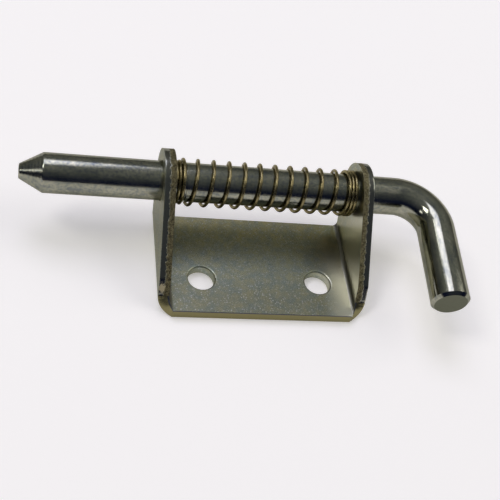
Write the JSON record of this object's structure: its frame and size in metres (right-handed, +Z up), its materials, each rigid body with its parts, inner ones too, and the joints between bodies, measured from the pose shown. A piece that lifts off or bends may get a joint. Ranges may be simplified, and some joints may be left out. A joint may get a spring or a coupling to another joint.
{
  "type": "spring latch",
  "caption": "Spring bolt latch: a bent round rod with a coned tip slides and turns in the domed ears of a folded steel bracket, pushed out by a wire coil spring.",
  "frame": {"origin": "midway between the two mounting holes, on the bracket's mounting face", "axes": "+X along the rod from its tip towards the handle, +Y from the mounting holes towards the rod, +Z up out of the mounting face"},
  "size_m": [0.1429, 0.0529, 0.032],
  "materials": {
    "bracket": "zinc-plated sheet steel, satin, faint yellow tint",
    "bolt": "zinc-plated steel rod, bright",
    "spring": "golden wire, semi-bright"
  },
  "bodies": {
    "bracket": {"bracket": "bracket"},
    "spring": {"spring": "spring"},
    "bolt": {"bolt": "bolt"}
  },
  "joints": [
    {"name": "bolt_turn", "type": "hinge", "parent": "bracket", "child": "spring", "pos_m": [0, 0.0245, 0.0216], "axis": [1, 0, 0], "continuous": true},
    {"name": "bolt_slide", "type": "slide", "parent": "spring", "child": "bolt", "axis": [1, 0, 0], "range_m": [0, 0.036], "stiffness_N_per_m": 450, "springref_m": -0.033, "deforming": ["spring"]}
  ]
}
